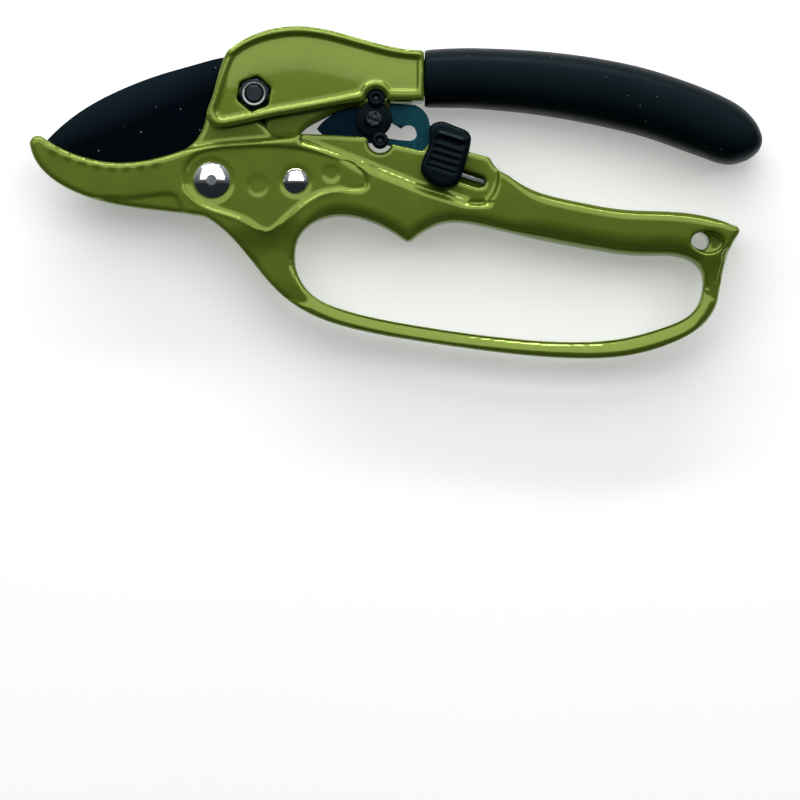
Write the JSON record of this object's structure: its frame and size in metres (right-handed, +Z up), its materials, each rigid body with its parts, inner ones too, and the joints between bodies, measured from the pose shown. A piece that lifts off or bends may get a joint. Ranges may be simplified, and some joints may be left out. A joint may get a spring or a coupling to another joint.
{
  "type": "ratchet pruner",
  "caption": "One-hand ratchet bypass pruner with a hooked jaw, coated blade, soft upper grip, thumb lock and a guard loop round the fingers.",
  "frame": {"origin": "bottom centre of the closed tool's box, lying on its back", "axes": "+X from the jaw to the handles' ends, +Y from the guard to the grip, +Z up, along every pivot"},
  "size_m": [0.2097, 0.095, 0.0198],
  "materials": {
    "green_enamel": "glossy green enamel on die-cast aluminium",
    "coated_blade": "satin black non-stick coating on steel",
    "soft_grip": "matte black soft grip",
    "bright_steel": "polished",
    "zinc_steel": "zinc plated",
    "dark_steel": "black oxide",
    "blued_steel": "blue-grey tempered steel",
    "black_plastic": "black nylon, lightly textured"
  },
  "bodies": {
    "lower": {"lower_handle": "green_enamel", "main_rivet": "bright_steel", "main_rivet_washer": "zinc_steel", "main_pivot_bush": "zinc_steel", "blade_washers": "zinc_steel", "stop_rivet": "bright_steel", "stop_sleeve": "zinc_steel", "ratchet_pivot_pin": "zinc_steel", "ratchet_pivot_washers": "zinc_steel", "lock_rail": "bright_steel"},
    "blade": {"blade": "coated_blade"},
    "upper": {"upper_handle": "green_enamel", "grip": "soft_grip", "handle_bolt": "dark_steel", "handle_nut": "dark_steel", "handle_pivot_bush": "zinc_steel", "tang_washers": "zinc_steel", "drive_pin": "dark_steel", "spring_hub": "black_plastic", "drive_pin_clip": "dark_steel", "return_spring": "dark_steel", "spring_rollers": "black_plastic"},
    "ratchet": {"ratchet_plate": "blued_steel"},
    "lock": {"lock_button": "black_plastic", "lock_catch": "dark_steel"}
  },
  "joints": [
    {"name": "blade_pivot", "type": "hinge", "parent": "lower", "child": "blade", "pos_m": [-0.05285, 0.0035, 0.0099], "axis": [0, 0, -1], "range_deg": [0, 22]},
    {"name": "handle_pivot", "type": "hinge", "parent": "blade", "child": "upper", "pos_m": [-0.04065, 0.0281, 0.0099], "axis": [0, 0, 1], "range_deg": [0, 36.01]},
    {"name": "ratchet_pivot", "type": "hinge", "parent": "lower", "child": "ratchet", "pos_m": [0.01215, 0.011, 0.0099], "axis": [0, 0, -1], "range_deg": [0, 24.21]},
    {"name": "lock_slide", "type": "slide", "parent": "lower", "child": "lock", "axis": [0.9537, -0.3007, 0], "range_m": [0, 0.006]}
  ],
  "couplings": [
    {"joint": "handle_pivot", "follows": "blade_pivot", "ratio": 1.6364},
    {"joint": "ratchet_pivot", "follows": "blade_pivot", "ratio": 1.1}
  ]
}
